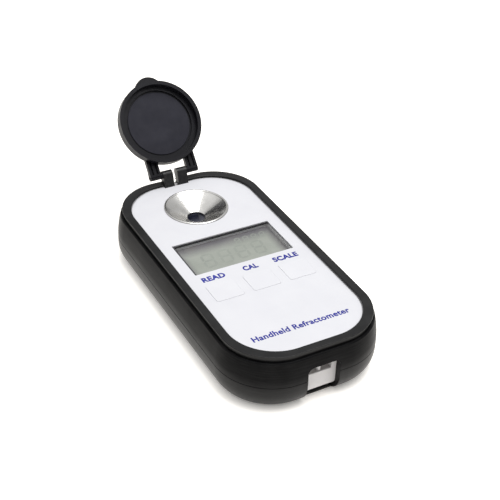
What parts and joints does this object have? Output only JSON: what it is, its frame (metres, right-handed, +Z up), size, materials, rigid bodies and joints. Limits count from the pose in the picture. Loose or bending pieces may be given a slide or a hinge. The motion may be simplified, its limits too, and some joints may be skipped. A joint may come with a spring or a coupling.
{
  "type": "digital handheld refractometer",
  "caption": "Pocket sugar-content meter: conical steel sample well under a hinged round cap, small display, press keys and a strap notch, in a rubber boot.",
  "frame": {"origin": "middle of the boot's flat underside", "axes": "+X across the instrument, +Y along it towards the cap's hinge, +Z up out of the display"},
  "size_m": [0.064, 0.1527, 0.059],
  "materials": {
    "boot_rubber": "satin black moulded rubber",
    "shell_white": "fine matt white ABS",
    "overlay_film": "matt printed polyester film, cool white",
    "key_white": "matt white key cap, flush with the film",
    "window_clear": "clear polished acrylic",
    "well_steel": "turned and polished stainless steel",
    "prism_glass": "polished optical glass, dark against its black block",
    "optics_black": "matt black moulding that stops stray light",
    "hinge_black": "satin black nylon",
    "cap_black": "satin black moulding",
    "cap_slate": "matt slate foam rubber disc",
    "pin_steel": "drawn steel rod",
    "screw_steel": "zinc-plated steel",
    "seal_rubber": "soft black silicone",
    "gasket_silicone": "pale grey silicone",
    "board_green": "solder-masked glass epoxy",
    "chip_black": "moulded chip packages",
    "switch_black": "moulded switch housings",
    "plunger_cream": "cream switch plungers",
    "lcd_glass": "grey-green liquid crystal glass with polariser",
    "lcd_reflector": "matt silvered film",
    "connector_rubber": "striped conductive elastomer",
    "frame_white": "white display frame",
    "led_resin": "tinted clear resin",
    "lens_acrylic": "polished acrylic lens",
    "lead_red": "red insulated wire",
    "sensor_dark": "line sensor under a dark window",
    "ribbon_white": "flat flexible cable",
    "thermistor_bead": "epoxy bead",
    "cell_wrap": "plain printed sleeve",
    "contact_nickel": "nickel-plated spring steel"
  },
  "bodies": {
    "body": {"boot": "boot_rubber", "top_shell": "shell_white", "bottom_shell": "shell_white", "shell_gasket": "gasket_silicone", "case_screws": "screw_steel", "face_overlay": "overlay_film", "display_window": "window_clear", "switch_bodies": "switch_black", "main_board": "board_green", "board_chips": "chip_black", "board_screws": "screw_steel", "lcd_panel": "lcd_glass", "lcd_reflector": "lcd_reflector", "lcd_connectors": "connector_rubber", "lcd_frame": "frame_white", "sample_well": "well_steel", "prism": "prism_glass", "prism_seal": "seal_rubber", "optics_block": "optics_black", "optics_screws": "screw_steel", "collimator_lens": "lens_acrylic", "led": "led_resin", "led_leads": "lead_red", "sensor_chip": "sensor_dark", "sensor_board": "board_green", "sensor_ribbon": "ribbon_white", "thermistor": "thermistor_bead", "battery": "cell_wrap", "battery_contacts": "contact_nickel", "battery_spring": "contact_nickel", "battery_door": "shell_white", "battery_door_seal": "seal_rubber", "battery_door_screw": "screw_steel", "hinge_bracket": "hinge_black", "bracket_screws": "screw_steel"},
    "cap": {"cap": "cap_black", "cap_pad": "cap_slate", "hinge_pins": "pin_steel"},
    "read_button": {"read_key": "key_white", "read_plunger": "plunger_cream"},
    "cal_button": {"cal_key": "key_white", "cal_plunger": "plunger_cream"},
    "scale_button": {"scale_key": "key_white", "scale_plunger": "plunger_cream"}
  },
  "joints": [
    {"name": "cap_hinge", "type": "hinge", "parent": "body", "child": "cap", "pos_m": [0, 0.0605, 0.0269], "axis": [1, 0, 0], "range_deg": [0, 133]},
    {"name": "read_press", "type": "slide", "parent": "body", "child": "read_button", "axis": [0, 0, -1], "range_m": [0, 0.0004], "stiffness_N_per_m": 300, "springref_m": -0.0002},
    {"name": "cal_press", "type": "slide", "parent": "body", "child": "cal_button", "axis": [0, 0, -1], "range_m": [0, 0.0004], "stiffness_N_per_m": 300, "springref_m": -0.0002},
    {"name": "scale_press", "type": "slide", "parent": "body", "child": "scale_button", "axis": [0, 0, -1], "range_m": [0, 0.0004], "stiffness_N_per_m": 300, "springref_m": -0.0002}
  ]
}
